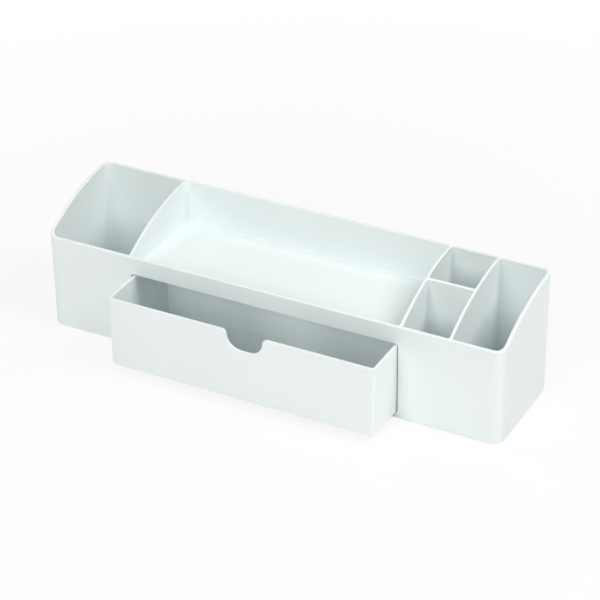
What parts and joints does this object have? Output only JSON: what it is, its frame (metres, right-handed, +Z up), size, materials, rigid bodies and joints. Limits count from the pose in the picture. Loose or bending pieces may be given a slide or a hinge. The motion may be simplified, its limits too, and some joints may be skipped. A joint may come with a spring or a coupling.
{
  "type": "desk organizer with drawer",
  "caption": "Long white plastic desk organizer with arched partitions, a shallow tray, deep pen compartments and a slide-out drawer with a thumb notch.",
  "frame": {"origin": "centre of the housing's flat underside; the foot pads stand below it", "axes": "+X to the right seen from the front, along the length; +Y from the front wall to the back wall; +Z up"},
  "size_m": [0.34, 0.1131, 0.0915],
  "materials": {
    "housing_plastic": "satin",
    "drawer_plastic": "satin",
    "pad_rubber": "matte"
  },
  "bodies": {
    "housing_body": {"housing": "housing_plastic", "foot_front_left": "pad_rubber", "foot_front_right": "pad_rubber", "foot_rear_left": "pad_rubber", "foot_rear_right": "pad_rubber"},
    "drawer_body": {"drawer": "drawer_plastic"}
  },
  "joints": [
    {"name": "drawer_slide", "type": "slide", "parent": "housing_body", "child": "drawer_body", "axis": [0, -1, 0], "range_m": [-0.0333, 0.024]}
  ]
}
